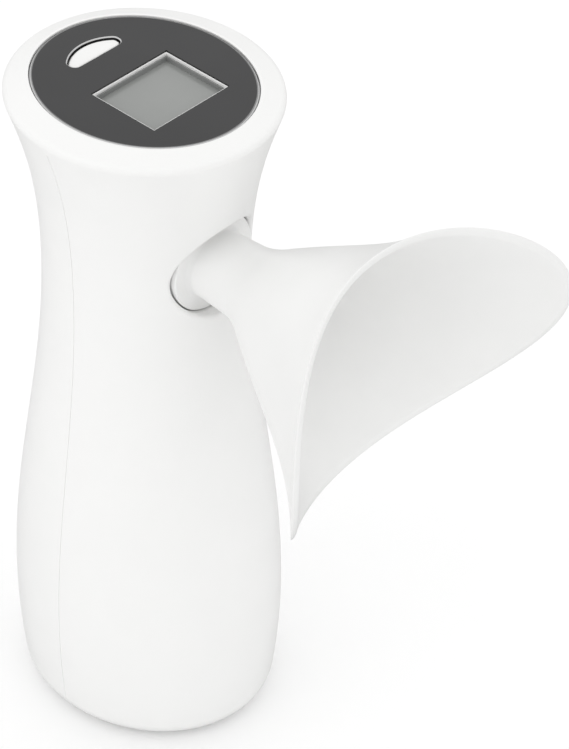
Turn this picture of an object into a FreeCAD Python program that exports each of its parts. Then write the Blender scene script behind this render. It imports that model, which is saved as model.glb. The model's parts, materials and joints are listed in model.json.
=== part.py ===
import FreeCAD, Part
import math
import os
from FreeCAD import Matrix, Vector

# Hand-held electronic incentive spirometer, millimetres.
# Z is up, the origin is the middle of the flat foot, the mouth cup points along -Y
# and the body parts into a front and a rear shell on the plane Y = 0.

# Body form: an oval column with a belly, a waist and a flared lip
HEIGHT = 175.0
BASE_HALF_DEPTH = 32.0
BELLY_HALF_DEPTH = 34.1
BELLY_Z = 28.0
WAIST_HALF_DEPTH = 24.6
WAIST_DROP = 47.0
LIP_HALF_DEPTH = 32.3
LIP_DROP = 1.8
FLARE_POWER = 2.25
BASE_OVAL = 1.133
TOP_OVAL = 1.061
SECTION_COUNT = 12
BASE_ROUND = 6.0
LIP_ROUND = 1.5
WALL = 2.2
FLOOR = 2.6

# Clearances
RUNNING = 0.05
SLIDING = 0.1
LOOSE = 0.25
PARTING_GAP = 0.3

# Foot pad
PAD_PROUD = 0.5
PAD_THICK = 1.4
PAD_INSET = 8.0

# Joint between the shells
TONGUE_THICK = 1.0
TONGUE_LENGTH = 1.4
TONGUE_MARGIN = 9.0
GROOVE_DEPTH = 0.12
GROOVE_HALF_WIDTH = 0.1

# Top deck: flange, dark panel and window
PANEL_HALF_DEPTH = 26.5
PANEL_HALF_WIDTH = 23.3
PANEL_THICK = 1.2
PANEL_SUNK = 0.1
PANEL_BEVEL = 0.25
DECK_FLAT = 0.6
FLANGE_OVERLAP = 1.5
FLANGE_THICK = 2.7
RIB_REACH = 1.4
RIB_THICK = 1.5
WINDOW_WIDTH = 23.2
WINDOW_DEPTH = 19.25
WINDOW_Y = -4.9
COLLAR_WALL = 0.35
COLLAR_SUNK = 0.35
CARRIER_PLATE = 1.5
CARRIER_WALL = 1.6
FILM_THICK = 0.25
MASK_HEIGHT = 1.15
MASK_BORDER = 0.3
GLASS_WIDTH = 27.8
GLASS_DEPTH = 23.0
GLASS_PLATE = 1.1
ZEBRA_HEIGHT = 5.2
ZEBRA_THICK = 2.0

# Button: a segment of a disc with rounded ends
BUTTON_FLAT_Y = 14.1
BUTTON_CREST_Y = 19.25
BUTTON_ARC_RADIUS = 10.3
BUTTON_HALF_LENGTH = 7.2
BUTTON_END_ROUND = 1.3
BUTTON_DOME = 0.5
BUTTON_SUNK = 0.5
BUTTON_TRAVEL = 0.5
BUTTON_FLANGE = 1.0
BUTTON_FLANGE_THICK = 1.2
BUTTON_STEM_RADIUS = 1.5

# Main board
BOARD_HALF_DEPTH = 24.5
BOARD_HALF_WIDTH = 21.5
BOARD_THICK = 1.6
SWITCH_SIZE = 6.0
SWITCH_HEIGHT = 3.0
PLUNGER_RADIUS = 1.6
SIDE_POST_X = 17.5
SIDE_POST_Y = -3.0
REAR_POST_X = 12.0
REAR_POST_Y = 14.5
POST_RADIUS = 2.1
SMALL_SCREW_RADIUS = 0.95
SMALL_HEAD_RADIUS = 1.8
SMALL_HEAD_HEIGHT = 1.3
SMALL_SCREW_LENGTH = 5.0
CHIP_HEIGHT = 1.4
PROCESSOR_SIZE = 10.0
PROCESSOR_Y = -4.0
DRIVER_SIZE = 5.0
DRIVER_X = 10.5
DRIVER_Y = -7.5
SOUNDER_RADIUS = 4.5
SOUNDER_X = -11.0
SOUNDER_Y = -12.0
CAPACITOR_WIDTH = 1.6
CAPACITOR_DEPTH = 1.0
CAPACITOR_PITCH = 3.0
CAPACITOR_COUNT = 4
CAPACITOR_Y = -13.0

# Port, swivel collar and neck of the cup
PORT_DROP = 38.4
COLLAR_RADIUS = 12.0
COLLAR_FACE = 21.2
FLANGE_DISC = 1.3
FLANGE_BEVEL = 0.3
NECK_ROOT_ROUND = 1.2
COLLAR_THICK = 1.0
PORT_ROUND = 0.8
SLEEVE_RADIUS = 10.0
SLEEVE_END = 9.0
SPIGOT_RADIUS = 8.2
SPIGOT_END = 9.6
SPIGOT_LEAD = 0.8
NECK_RADIUS = 8.85
NECK_END = 34.4
NECK_BORE = 6.2
RING_GROOVE_DEPTH = 1.2
RING_POSITION = 13.5
CLIP_THICK = 0.8
CLIP_REACH = 1.0
CLIP_GROOVE = 0.7

# Mouth cup: a funnel whose rim is a saddle curve
CUP_HALF_WIDTH = 45.2
CUP_HALF_HEIGHT = 30.8
CUP_REACH = 75.9
CUP_SADDLE = 10.0
CUP_LEAN = 2.8
CUP_DROP = 1.8
CUP_OPENING = 1.02
CUP_DRAW_IN = 0.32
CUP_FLARE = 0.30
CUP_WALL = 2.1
CUP_LIP = 0.9
CUP_TURN = 5.0
CUP_SECTIONS = 6
CUP_POINTS = 20

# Flow tube and turbine
TUBE_BORE = 8.0
TUBE_WALL = 1.6
TUBE_FRONT = 10.2
TUBE_BACK = 19.0
SOCKET_WALL = 2.0
SOCKET_FRONT = 18.4
FLANGE_LENGTH = 3.5
CLIP_POCKET = 2.0
SEAT_WALL = 1.6
SEAT_LENGTH = 5.0
SWIRLER_RING = 0.8
SWIRLER_START = 3.2
SWIRLER_LENGTH = 4.2
SWIRLER_HUB = 1.6
VANE_COUNT = 6
VANE_THICK = 0.5
VANE_TWIST = 40.0
ROTOR_RADIUS = 7.3
ROTOR_HALF_LENGTH = 2.6
ROTOR_THICK = 0.4
ROTOR_HUB = 0.9
SHAFT_RADIUS = 0.4
BEARING_RADIUS = 1.0
BEARING_LENGTH = 1.2

# Optical sensor on top of the flow tube
SENSOR_WIDTH = 4.0
SENSOR_DEPTH = 3.0
SENSOR_BOARD_WIDTH = 12.0
SENSOR_BOARD_DEPTH = 17.0
SENSOR_BOARD_THICK = 1.2
SENSOR_BOARD_LIFT = 12.6
SENSOR_POST_Y = 6.4
SENSOR_POST_THICK = 2.8
RIBBON_WIDTH = 5.0
RIBBON_THICK = 0.3
RIBBON_Y = 1.5
RIBBON_BOW = 2.4

# Air outlet in the rear shell, behind the flow tube
OUTLET_SLOTS = 5
OUTLET_PITCH = 3.1
OUTLET_SLOT = 1.7
OUTLET_RADIUS = 7.4

# Case screws: place across and height, and their bosses
SCREW_LOW_X = 17.0
SCREW_LOW_Z = 12.5
SCREW_MIDDLE_RISE = 23.0
SCREW_HIGH_X = 13.5
SCREW_HIGH_DROP = 19.0
BOSS_RADIUS = 4.0
SCREW_HEAD_RADIUS = 2.5
SCREW_HEAD_HEIGHT = 1.8
SCREW_RADIUS = 1.3
SCREW_LENGTH = 10.0
SCREW_SEAT = 3.5
SCREW_BITE = 0.2
DRIVE_SHARE = 0.55
BOSS_STEP = 1.0

# Battery compartment behind the belly
CELL_RADIUS = 5.25
CELL_LENGTH = 43.7
CELL_NUB_RADIUS = 1.9
CELL_NUB = 0.8
CELL_X = 6.2
CELL_Y = 15.0
SPRING_LENGTH = 6.0
SPRING_RADIUS = 2.6
SPRING_WIRE = 0.6
SPRING_TURNS = 3.0
CONTACT_THICK = 0.4
CONTACT_WIDTH = 8.0
CONTACT_TAB = 4.0
HOLDER_WALL = 1.3
HOLDER_BOTTOM = 22.6
HOLDER_BACK = 8.2
DOOR_HALF_WIDTH = 13.6
DOOR_LOW = 20.6
DOOR_HIGH = 80.0
DOOR_CORNER = 5.0
DOOR_SKIN = 1.2
DOOR_LEDGE = 1.8
DOOR_FINGER_WIDTH = 6.0
DOOR_FINGER_LENGTH = 4.0
DOOR_FINGER_THICK = 1.0
GRIP_RADIUS = 7.0
GRIP_DEPTH = 0.8
GRIP_HALF_WIDTH = 5.0
LEAD_RADIUS = 0.6
LEAD_X = 19.0
LEAD_Y = 3.0
LEAD_RISE = 10.0
LEAD_SPREAD = 26.0
LEAD_DROP = 14.0
LEAD_LEAN = 1.5

# Heights and places that follow from the sizes above
LIP_Z = HEIGHT - LIP_DROP
WAIST_Z = HEIGHT - WAIST_DROP
PORT_Z = HEIGHT - PORT_DROP
SHELL_BOTTOM = PAD_PROUD
PANEL_TOP = HEIGHT - PANEL_SUNK
LEDGE_Z = PANEL_TOP - PANEL_THICK
FLANGE_BOTTOM = LEDGE_Z - FLANGE_THICK
COLLAR_TOP = PANEL_TOP - COLLAR_SUNK
PLATE_BOTTOM = LEDGE_Z - CARRIER_PLATE
GLASS_MIDDLE = LEDGE_Z - GLASS_PLATE
GLASS_BOTTOM = GLASS_MIDDLE - GLASS_PLATE
BOARD_TOP = GLASS_BOTTOM - ZEBRA_HEIGHT
BOARD_BOTTOM = BOARD_TOP - BOARD_THICK
BUTTON_TOP = PANEL_TOP - BUTTON_SUNK
HOLDER_FLOOR = HOLDER_BOTTOM + HOLDER_WALL
HOLDER_CEILING = HOLDER_FLOOR + 2 * CONTACT_THICK + SPRING_LENGTH + CELL_LENGTH + CELL_NUB
HOLDER_TOP = HOLDER_CEILING + HOLDER_WALL
SCREW_PLACES = ((-SCREW_LOW_X, SCREW_LOW_Z), (SCREW_LOW_X, SCREW_LOW_Z),
                (0.0, DOOR_HIGH + SCREW_MIDDLE_RISE),
                (-SCREW_HIGH_X, HEIGHT - SCREW_HIGH_DROP), (SCREW_HIGH_X, HEIGHT - SCREW_HIGH_DROP))
BOARD_POSTS = ((-SIDE_POST_X, SIDE_POST_Y), (SIDE_POST_X, SIDE_POST_Y),
               (-REAR_POST_X, REAR_POST_Y), (REAR_POST_X, REAR_POST_Y))
FAR = 2 * HEIGHT


def box(x0, x1, y0, y1, z0, z1):
    return Part.makeBox(x1 - x0, y1 - y0, z1 - z0, Vector(x0, y0, z0))


def rod_z(radius, z0, z1, x=0.0, y=0.0):
    return Part.makeCylinder(radius, z1 - z0, Vector(x, y, z0), Vector(0, 0, 1))


def rod_y(radius, y0, y1, x=0.0, z=PORT_Z):
    return Part.makeCylinder(radius, y1 - y0, Vector(x, y0, z), Vector(0, 1, 0))


def ring_y(outer, inner, y0, y1, x=0.0, z=PORT_Z):
    return rod_y(outer, y0, y1, x, z).cut(rod_y(inner, y0, y1, x, z))


def fused(first, *others):
    return first.fuse(list(others)).removeSplitter()


def half_depth(z):
    """Half the body's depth along Y at height z."""
    if z <= BELLY_Z:
        below = (BELLY_Z - z) / BELLY_Z
        return BELLY_HALF_DEPTH - (BELLY_HALF_DEPTH - BASE_HALF_DEPTH) * below ** 2
    if z <= WAIST_Z:
        share = (z - BELLY_Z) / (WAIST_Z - BELLY_Z)
        swing = 0.5 * (1 + math.cos(math.pi * share))
        return WAIST_HALF_DEPTH + (BELLY_HALF_DEPTH - WAIST_HALF_DEPTH) * swing
    share = (z - WAIST_Z) / (LIP_Z - WAIST_Z)
    return WAIST_HALF_DEPTH + (LIP_HALF_DEPTH - WAIST_HALF_DEPTH) * share ** FLARE_POWER


def half_width(z):
    ratio = BASE_OVAL + (TOP_OVAL - BASE_OVAL) * z / HEIGHT
    return half_depth(z) / ratio


def oval_wire(half_x, half_y, z):
    """An ellipse as a rear and a front half that meet on the parting plane."""
    right, left = Vector(1, 0, 0), Vector(-1, 0, 0)
    rear = Part.Arc(right, Vector(0, 1, 0), left).toShape()
    front = Part.Arc(left, Vector(0, -1, 0), right).toShape()
    stretch = Matrix()
    stretch.A11 = half_x
    stretch.A22 = half_y
    stretch.A34 = z
    return Part.Wire([rear.transformGeometry(stretch), front.transformGeometry(stretch)])


def oval_plate(half_x, half_y, z0, z1):
    return Part.Face(oval_wire(half_x, half_y, z0)).extrude(Vector(0, 0, z1 - z0))


def oval_frustum(low, high):
    """A straight-sided solid between two ovals, each given as half x, half y and z."""
    return Part.makeLoft([oval_wire(*low), oval_wire(*high)], True, True)


COLUMNS = {}


def column(inset):
    """The body's full-height oval column, taken in by inset on its sides."""
    if inset not in COLUMNS:
        step = (LIP_Z - SHELL_BOTTOM) / (SECTION_COUNT - 1)
        heights = [SHELL_BOTTOM + step * i for i in range(SECTION_COUNT)]
        wires = [oval_wire(half_width(z) - inset, half_depth(z) - inset, z) for z in heights]
        COLUMNS[inset] = Part.makeLoft(wires, True, False)
    return COLUMNS[inset]


def column_slice(inset, z0, z1):
    return column(inset).common(box(-FAR, FAR, -FAR, FAR, z0, z1))


def edges_at(shape, z):
    """The edges of a shape that lie in the level plane z."""
    return [e for e in shape.Edges if all(abs(v.Z - z) < 1e-4 for v in e.Vertexes)
            and abs(e.BoundBox.ZMax - e.BoundBox.ZMin) < 1e-3]


def body_skin():
    """The solid outer form: column, sloping lip and rounded foot."""
    lip_edge = (half_width(LIP_Z), half_depth(LIP_Z), LIP_Z)
    deck_edge = (PANEL_HALF_WIDTH + PARTING_GAP + DECK_FLAT,
                 PANEL_HALF_DEPTH + PARTING_GAP + DECK_FLAT, HEIGHT)
    skin = column(0.0).fuse(oval_frustum(lip_edge, deck_edge)).removeSplitter()
    skin = skin.makeFillet(LIP_ROUND, edges_at(skin, LIP_Z))
    return skin.makeFillet(BASE_ROUND, edges_at(skin, SHELL_BOTTOM))


def front_half(shape):
    return shape.common(box(-FAR, FAR, -FAR, 0, -FAR, 2 * FAR))


def rear_half(shape):
    return shape.common(box(-FAR, FAR, 0, FAR, -FAR, 2 * FAR))


def hollow_body():
    """The whole shell before parting: cavity, top flange, panel recess and pad recess."""
    cavity = column_slice(WALL, SHELL_BOTTOM + FLOOR, FLANGE_BOTTOM)
    cavity = cavity.makeFillet(BASE_ROUND - WALL, edges_at(cavity, SHELL_BOTTOM + FLOOR))
    opening = oval_plate(PANEL_HALF_WIDTH - FLANGE_OVERLAP, PANEL_HALF_DEPTH - FLANGE_OVERLAP,
                         FLANGE_BOTTOM - 1, HEIGHT + 1)
    recess = oval_plate(PANEL_HALF_WIDTH + PARTING_GAP, PANEL_HALF_DEPTH + PARTING_GAP,
                        LEDGE_Z, HEIGHT + 1)
    pad_recess = oval_plate(half_width(0) - PAD_INSET + SLIDING, half_depth(0) - PAD_INSET + SLIDING,
                            0, PAD_THICK)
    shell = body_skin().cut([cavity, opening, recess, pad_recess])
    rib_top = FLANGE_BOTTOM - RIB_THICK - SLIDING
    rib_low = rib_top - RIB_THICK
    rib = column_slice(WALL / 2, rib_low, rib_top).cut(column_slice(WALL + RIB_REACH, rib_low, rib_top))
    return shell.fuse(rib)


def tongue_band(outer_inset, inner_inset, length):
    """A band along the side walls, in front of the parting plane, for the shells' joint."""
    z0 = SHELL_BOTTOM + TONGUE_MARGIN
    z1 = FLANGE_BOTTOM - TONGUE_MARGIN
    band = column_slice(outer_inset, z0, z1).cut(column_slice(inner_inset, z0, z1))
    return band.common(box(-FAR, FAR, -length, 0, z0, z1))


def front_boss(x, z):
    return rod_y(BOSS_RADIUS - BOSS_STEP, -FAR, 0, x, z).common(column(WALL / 2))


def front_shell():
    shell = front_half(hollow_body())
    bosses = [front_boss(x, z) for x, z in SCREW_PLACES]
    hood = rod_y(COLLAR_RADIUS + PARTING_GAP + SOCKET_WALL, -FAR, -SLEEVE_END - SOCKET_WALL)
    hood = hood.common(column(WALL / 2))
    shell = shell.fuse(bosses + [hood]).removeSplitter()
    pilots = [rod_y(SCREW_RADIUS - SCREW_BITE, SCREW_SEAT - SCREW_LENGTH - 1, 0, x, z)
              for x, z in SCREW_PLACES]
    mouth = rod_y(COLLAR_RADIUS + PARTING_GAP, -FAR, -SOCKET_FRONT)
    seat = rod_y(COLLAR_RADIUS, -SOCKET_FRONT, 0)
    groove = tongue_band(WALL - TONGUE_THICK - SLIDING, WALL + SLIDING, TONGUE_LENGTH + SLIDING)
    shell = shell.cut(pilots + [mouth, seat, groove, parting_groove()])
    return shell.makeFillet(PORT_ROUND, port_edges(shell))


def port_edges(shell):
    """The edges where the port's mouth breaks through the body's outer surface."""
    reach = COLLAR_RADIUS + PARTING_GAP
    found = []
    for edge in shell.Edges:
        points = edge.discretize(9)
        radii = [math.hypot(p.x, p.z - PORT_Z) for p in points]
        if all(abs(r - reach) < 1e-2 and p.y < -SOCKET_FRONT - SLIDING for r, p in zip(radii, points)):
            if max(p.y for p in points) - min(p.y for p in points) > SLIDING or len(edge.Vertexes) == 1:
                found.append(edge)
    return found


def parting_groove():
    """The shadow line along the side walls where the two shells meet."""
    band = column(0.0).cut(column(GROOVE_DEPTH))
    return band.common(box(-FAR, FAR, -GROOVE_HALF_WIDTH, GROOVE_HALF_WIDTH,
                           SHELL_BOTTOM, LIP_Z - 2 * LIP_ROUND))


def door_outline(grow, y0, y1):
    """The door's rounded outline, grown or shrunk, as a prism along Y."""
    wide = DOOR_HALF_WIDTH + grow
    corner = DOOR_CORNER + grow
    block = box(-wide, wide, y0, y1, DOOR_LOW - grow, DOOR_HIGH + grow)
    along = [e for e in block.Edges if abs(e.Vertexes[0].Y - e.Vertexes[-1].Y) > (y1 - y0) / 2]
    return block.makeFillet(corner, along)


def outlet_slots():
    """Level slots with round ends, each as long as its chord of the outlet's circle."""
    slots = []
    for i in range(OUTLET_SLOTS):
        rise = (i - (OUTLET_SLOTS - 1) / 2) * OUTLET_PITCH
        half = math.sqrt(OUTLET_RADIUS ** 2 - rise ** 2) - OUTLET_SLOT / 2
        z = PORT_Z + rise
        slots.append(box(-half, half, TUBE_BACK, FAR, z - OUTLET_SLOT / 2, z + OUTLET_SLOT / 2))
        slots.append(rod_y(OUTLET_SLOT / 2, TUBE_BACK, FAR, -half, z))
        slots.append(rod_y(OUTLET_SLOT / 2, TUBE_BACK, FAR, half, z))
    return slots


def rear_shell():
    shell = rear_half(hollow_body())
    tubes = [rod_y(BOSS_RADIUS, 0, FAR, x, z).common(column(WALL / 2)) for x, z in SCREW_PLACES]
    tube_outer = TUBE_BORE + TUBE_WALL
    seat = ring_y(tube_outer + SLIDING + SEAT_WALL, tube_outer + SLIDING, TUBE_BACK - SEAT_LENGTH, FAR)
    seat = seat.common(column(WALL / 2))
    tongue = tongue_band(WALL - TONGUE_THICK, WALL, TONGUE_LENGTH)
    root = tongue.mirror(Vector(0, 0, 0), Vector(0, 1, 0))
    shell = shell.fuse(tubes + [seat, tongue, root])
    cuts = outlet_slots()
    for x, z in SCREW_PLACES:
        cuts.append(rod_y(SCREW_HEAD_RADIUS + LOOSE, SCREW_SEAT, FAR, x, z))
        cuts.append(rod_y(SCREW_RADIUS + SLIDING, 0, SCREW_SEAT, x, z))
    cuts.append(door_outline(LOOSE, 0, FAR).cut(column(DOOR_SKIN + SLIDING)))
    cuts.append(door_outline(LOOSE - DOOR_LEDGE, CELL_Y, FAR))
    cuts.append(parting_groove())
    return shell.cut(cuts)


def battery_door():
    skin = column(0.0).cut(column(DOOR_SKIN)).common(door_outline(0, 0, FAR))
    plug = column(DOOR_SKIN).cut(column(WALL)).common(door_outline(-DOOR_LEDGE, 0, FAR))
    fingers = []
    for z0 in (DOOR_LOW + DOOR_LEDGE, DOOR_HIGH - DOOR_LEDGE - DOOR_FINGER_THICK):
        depth = half_depth(z0) - WALL
        reach = box(-DOOR_FINGER_WIDTH / 2, DOOR_FINGER_WIDTH / 2, depth - DOOR_FINGER_LENGTH, FAR,
                    z0, z0 + DOOR_FINGER_THICK)
        fingers.append(reach.common(column(DOOR_SKIN)))
    door = skin.fuse([plug] + fingers).removeSplitter()
    grip_z = DOOR_HIGH - DOOR_CORNER - GRIP_DEPTH
    grip_y = half_depth(grip_z) - GRIP_DEPTH + GRIP_RADIUS
    grip = Part.makeCylinder(GRIP_RADIUS, 2 * GRIP_HALF_WIDTH, Vector(-GRIP_HALF_WIDTH, grip_y, grip_z),
                             Vector(1, 0, 0))
    return door.cut(grip)


def base_pad():
    pad = oval_plate(half_width(0) - PAD_INSET, half_depth(0) - PAD_INSET, 0, PAD_THICK)
    return pad.makeChamfer(PAD_PROUD / 2, edges_at(pad, 0))


def screw(head_radius, head_height, radius, length):
    """A pan-head screw with a six-sided drive, point up, its seat at z = 0."""
    head = rod_z(head_radius, -head_height, 0)
    head = head.makeChamfer(head_height / 3, edges_at(head, -head_height))
    drive_radius = DRIVE_SHARE * head_radius
    corners = [Vector(drive_radius * math.cos(math.pi * i / 3),
                      drive_radius * math.sin(math.pi * i / 3), -head_height) for i in range(7)]
    drive = Part.Face(Part.makePolygon(corners)).extrude(Vector(0, 0, head_height / 2))
    shank = rod_z(radius, -head_height / 4, length)
    shank = shank.makeChamfer(radius / 2, edges_at(shank, length))
    return fused(head, shank).cut(drive)


def case_screws():
    screws = []
    for x, z in SCREW_PLACES:
        one = screw(SCREW_HEAD_RADIUS, SCREW_HEAD_HEIGHT, SCREW_RADIUS - SCREW_BITE, SCREW_LENGTH)
        one.rotate(Vector(0, 0, 0), Vector(1, 0, 0), 90)
        one.translate(Vector(x, SCREW_SEAT, z))
        screws.append(one)
    return Part.makeCompound(screws)


def window_hole(grow, z0, z1):
    half_x = WINDOW_WIDTH / 2 + grow
    half_y = WINDOW_DEPTH / 2 + grow
    return box(-half_x, half_x, WINDOW_Y - half_y, WINDOW_Y + half_y, z0, z1)


def glass_block(grow, z0, z1):
    half_x = GLASS_WIDTH / 2 + grow
    half_y = GLASS_DEPTH / 2 + grow
    return box(-half_x, half_x, WINDOW_Y - half_y, WINDOW_Y + half_y, z0, z1)


def button_prism(grow, z0, z1):
    """The button's outline, a disc segment with rounded ends, grown and made a prism."""
    centre_y = BUTTON_CREST_Y - BUTTON_ARC_RADIUS
    disc = rod_z(BUTTON_ARC_RADIUS + grow, z0, z1, 0, centre_y)
    half = BUTTON_HALF_LENGTH + grow
    frame = box(-half, half, BUTTON_FLAT_Y - grow, BUTTON_CREST_Y + 2 * grow + 1, z0, z1)
    prism = disc.common(frame)
    upright = [e for e in prism.Edges if abs(e.Vertexes[0].Z - e.Vertexes[-1].Z) > (z1 - z0) / 2]
    return prism.makeFillet(BUTTON_END_ROUND + max(grow, 0), upright)


def display_panel():
    panel = oval_plate(PANEL_HALF_WIDTH, PANEL_HALF_DEPTH, LEDGE_Z, PANEL_TOP)
    panel = panel.cut(button_prism(LOOSE, LEDGE_Z - 1, PANEL_TOP + 1))
    panel = panel.makeChamfer(PANEL_BEVEL, edges_at(panel, PANEL_TOP))
    return panel.cut(window_hole(0, 0, FAR))


def display_carrier():
    """The white frame under the panel: window collar, glass pocket, board posts and rim."""
    half_x = PANEL_HALF_WIDTH - FLANGE_OVERLAP - SLIDING
    half_y = PANEL_HALF_DEPTH - FLANGE_OVERLAP - SLIDING
    rim_low = FLANGE_BOTTOM - RIB_THICK
    cavity_x = half_width(rim_low) - WALL - LOOSE
    cavity_y = half_depth(rim_low) - WALL - LOOSE
    plate = oval_plate(half_x, half_y, PLATE_BOTTOM, LEDGE_Z)
    band = oval_plate(half_x, half_y, rim_low, LEDGE_Z)
    rim = oval_plate(cavity_x, cavity_y, rim_low, FLANGE_BOTTOM)
    hollow = oval_plate(half_x - CARRIER_WALL, half_y - CARRIER_WALL, rim_low - 1, PLATE_BOTTOM)
    posts = [rod_z(POST_RADIUS, BOARD_TOP, LEDGE_Z, x, y) for x, y in BOARD_POSTS]
    pocket_wall = glass_block(CARRIER_WALL, GLASS_BOTTOM, LEDGE_Z)
    collar = window_hole(-SLIDING, LEDGE_Z - 1, COLLAR_TOP)
    body = band.fuse(rim).cut(hollow).fuse([plate, pocket_wall, collar] + posts)
    cuts = [glass_block(SLIDING * 2, BOARD_TOP - 1, GLASS_MIDDLE)]
    cuts.append(window_hole(-SLIDING - COLLAR_WALL, GLASS_MIDDLE - 1, HEIGHT))
    cuts.append(button_prism(LOOSE, PLATE_BOTTOM - 1, HEIGHT))
    cuts += [rod_z(SMALL_SCREW_RADIUS, BOARD_TOP - 1, BOARD_TOP + SMALL_SCREW_LENGTH, x, y)
             for x, y in BOARD_POSTS]
    return body.cut(cuts).removeSplitter()


def lcd_bezel():
    """The grey liner that stands on the glass along the window's walls."""
    inner = -2 * SLIDING - COLLAR_WALL
    low = GLASS_MIDDLE + FILM_THICK
    liner = window_hole(inner, low, low + MASK_HEIGHT)
    return liner.cut(window_hole(inner - MASK_BORDER, low - 1, HEIGHT))


def lcd_glass():
    """The glass cell with its polariser film up in the window."""
    cell = glass_block(0, GLASS_BOTTOM, GLASS_MIDDLE)
    film = window_hole(-2 * SLIDING - COLLAR_WALL, GLASS_MIDDLE, GLASS_MIDDLE + FILM_THICK)
    return cell.fuse(film)


def zebra_strips():
    strips = []
    for side in (-1, 1):
        y = WINDOW_Y + side * (GLASS_DEPTH / 2 - ZEBRA_THICK)
        half = GLASS_WIDTH / 2 - ZEBRA_THICK
        strips.append(box(-half, half, y - ZEBRA_THICK / 2, y + ZEBRA_THICK / 2, BOARD_TOP, GLASS_BOTTOM))
    return Part.makeCompound(strips)


def main_board():
    board = oval_plate(BOARD_HALF_WIDTH, BOARD_HALF_DEPTH, BOARD_BOTTOM, BOARD_TOP)
    holes = [rod_z(SMALL_SCREW_RADIUS + SLIDING, BOARD_BOTTOM - 1, BOARD_TOP + 1, x, y)
             for x, y in BOARD_POSTS]
    return board.cut(holes)


def under_board(width, depth, height, x, y):
    """A block soldered to the underside of the main board."""
    return box(x - width / 2, x + width / 2, y - depth / 2, y + depth / 2,
               BOARD_BOTTOM - height, BOARD_BOTTOM)


def board_chips():
    """Processor, display driver, sounder and small capacitors under the main board."""
    parts = [under_board(PROCESSOR_SIZE, PROCESSOR_SIZE, CHIP_HEIGHT, 0, PROCESSOR_Y)]
    parts.append(under_board(DRIVER_SIZE, DRIVER_SIZE, CHIP_HEIGHT, DRIVER_X, DRIVER_Y))
    parts.append(rod_z(SOUNDER_RADIUS, BOARD_BOTTOM - 2 * CHIP_HEIGHT, BOARD_BOTTOM, SOUNDER_X, SOUNDER_Y))
    for i in range(CAPACITOR_COUNT):
        x = (i - (CAPACITOR_COUNT - 1) / 2) * CAPACITOR_PITCH
        parts.append(under_board(CAPACITOR_WIDTH, CAPACITOR_DEPTH, CHIP_HEIGHT / 2, x, CAPACITOR_Y))
    return Part.makeCompound(parts)


def button_middle():
    return (BUTTON_FLAT_Y + BUTTON_CREST_Y) / 2


def plunger_top():
    return BOARD_TOP + SWITCH_HEIGHT + BUTTON_TRAVEL + SLIDING


def tact_switch():
    y = button_middle()
    half = SWITCH_SIZE / 2
    case = box(-half, half, y - half, y + half, BOARD_TOP, BOARD_TOP + SWITCH_HEIGHT)
    return case.cut(rod_z(PLUNGER_RADIUS + RUNNING, BOARD_TOP + SWITCH_HEIGHT / 3, HEIGHT, 0, y))


def switch_plunger():
    low = BOARD_TOP + SWITCH_HEIGHT / 3 + BUTTON_TRAVEL + SLIDING
    return rod_z(PLUNGER_RADIUS, low, plunger_top(), 0, button_middle())


def power_button():
    """The white key: a cap in the panel's hole, a flange under the plate and a stem."""
    flange_top = PLATE_BOTTOM - SLIDING
    flange_low = flange_top - BUTTON_FLANGE_THICK
    cap = button_prism(0, flange_low, BUTTON_TOP)
    top_edges = [e for e in cap.Edges if abs(e.BoundBox.ZMin - BUTTON_TOP) < 1e-3]
    cap = cap.makeFillet(BUTTON_DOME, top_edges)
    flange = button_prism(BUTTON_FLANGE, flange_low, flange_top)
    stem = rod_z(BUTTON_STEM_RADIUS, plunger_top(), flange_top, 0, button_middle())
    return fused(cap, flange, stem)


def board_screws():
    screws = []
    for x, y in BOARD_POSTS:
        one = screw(SMALL_HEAD_RADIUS, SMALL_HEAD_HEIGHT, SMALL_SCREW_RADIUS - RUNNING, SMALL_SCREW_LENGTH)
        one.translate(Vector(x, y, BOARD_BOTTOM))
        screws.append(one)
    return Part.makeCompound(screws)


def cup_ring(share, inner):
    """One closed curve round the cup's wall; share is 0 at the neck and 1 at the rim."""
    neck = (NECK_BORE if inner else NECK_RADIUS)
    thin = (CUP_WALL if inner else 0.0)
    points = []
    for i in range(CUP_POINTS):
        angle = 2 * math.pi * i / CUP_POINTS
        rim_x = (CUP_HALF_WIDTH - thin) * math.cos(angle)
        rim_z = (CUP_HALF_HEIGHT - thin) * math.sin(angle) - CUP_DROP
        rim_y = CUP_REACH + CUP_SADDLE * math.cos(2 * angle) + CUP_LEAN * math.sin(angle)
        spread = CUP_OPENING * share - CUP_DRAW_IN * share ** 2 + CUP_FLARE * share ** 4
        x = neck * math.cos(angle) + (rim_x - neck * math.cos(angle)) * spread
        z = neck * math.sin(angle) + (rim_z - neck * math.sin(angle)) * spread
        y = NECK_END + (rim_y - NECK_END) * share
        points.append(Vector(x, -y, PORT_Z + z))
    return points


def closed_curve(points):
    curve = Part.BSplineCurve()
    curve.interpolate(Points=points, PeriodicFlag=True)
    return Part.Wire([curve.toShape()])


def neck_circle(radius):
    """The circle at the end of the neck, started and turned as the cup's curves are."""
    circle = Part.Circle(Vector(0, -NECK_END, PORT_Z), Vector(0, -1, 0), radius)
    circle.XAxis = Vector(1, 0, 0)
    return Part.Wire([circle.toShape()])


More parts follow.
